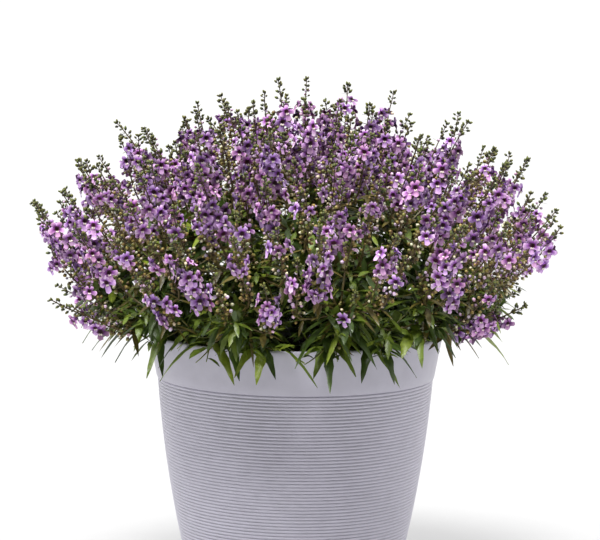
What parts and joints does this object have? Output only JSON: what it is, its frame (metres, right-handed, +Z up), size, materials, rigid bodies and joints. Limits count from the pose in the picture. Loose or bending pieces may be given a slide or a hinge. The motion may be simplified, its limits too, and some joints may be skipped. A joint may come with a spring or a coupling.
{
  "type": "potted angelonia",
  "caption": "Flowering bedding plant in a ribbed round planter: a dome of purple floret spikes on leafy stems that stand in potting mix.",
  "frame": {"origin": "middle of the planter's underside, on the surface that it stands on", "axes": "+Z up along the planter's axis, front towards -Y"},
  "size_m": [0.5242, 0.5393, 0.5003],
  "materials": {
    "planter": "satin moulded plastic, pale lilac grey",
    "potting_mix": "dark, coarse, moist bark and peat",
    "foliage": "soft satin leaf green",
    "florets": "soft matt petals, lilac purple with a dark throat"
  },
  "bodies": {
    "root": {"planter": "planter", "potting_mix": "potting_mix", "leafy_stem_01": "foliage", "leafy_stem_02": "foliage", "leafy_stem_03": "foliage", "leafy_stem_04": "foliage", "leafy_stem_05": "foliage", "leafy_stem_06": "foliage", "leafy_stem_07": "foliage", "leafy_stem_08": "foliage", "leafy_stem_09": "foliage", "leafy_stem_10": "foliage", "leafy_stem_11": "foliage", "leafy_stem_12": "foliage", "leafy_stem_13": "foliage", "flower_spray_01": "florets", "flower_spray_02": "florets", "flower_spray_03": "florets", "flower_spray_04": "florets", "flower_spray_05": "florets", "flower_spray_06": "florets", "flower_spray_07": "florets", "flower_spray_08": "florets", "flower_spray_09": "florets", "flower_spray_10": "florets", "flower_spray_11": "florets", "flower_spray_12": "florets", "flower_spray_13": "florets", "flower_spray_14": "florets", "flower_spray_15": "florets", "flower_spray_16": "florets", "flower_spray_17": "florets", "flower_spray_18": "florets", "flower_spray_19": "florets", "flower_spray_20": "florets", "flower_spray_21": "florets", "flower_spray_22": "florets", "flower_spray_23": "florets", "flower_spray_24": "florets", "flower_spray_25": "florets", "flower_spray_26": "florets", "flower_spray_27": "florets", "flower_spray_28": "florets", "flower_spray_29": "florets", "flower_spray_30": "florets", "flower_spray_31": "florets", "flower_spray_32": "florets", "flower_spray_33": "florets", "flower_spray_34": "florets", "flower_spray_35": "florets", "flower_spray_36": "florets", "flower_spray_37": "florets", "flower_spray_38": "florets", "flower_spray_39": "florets", "flower_spray_40": "florets", "flower_spray_41": "florets", "flower_spray_42": "florets"}
  },
  "joints": []
}
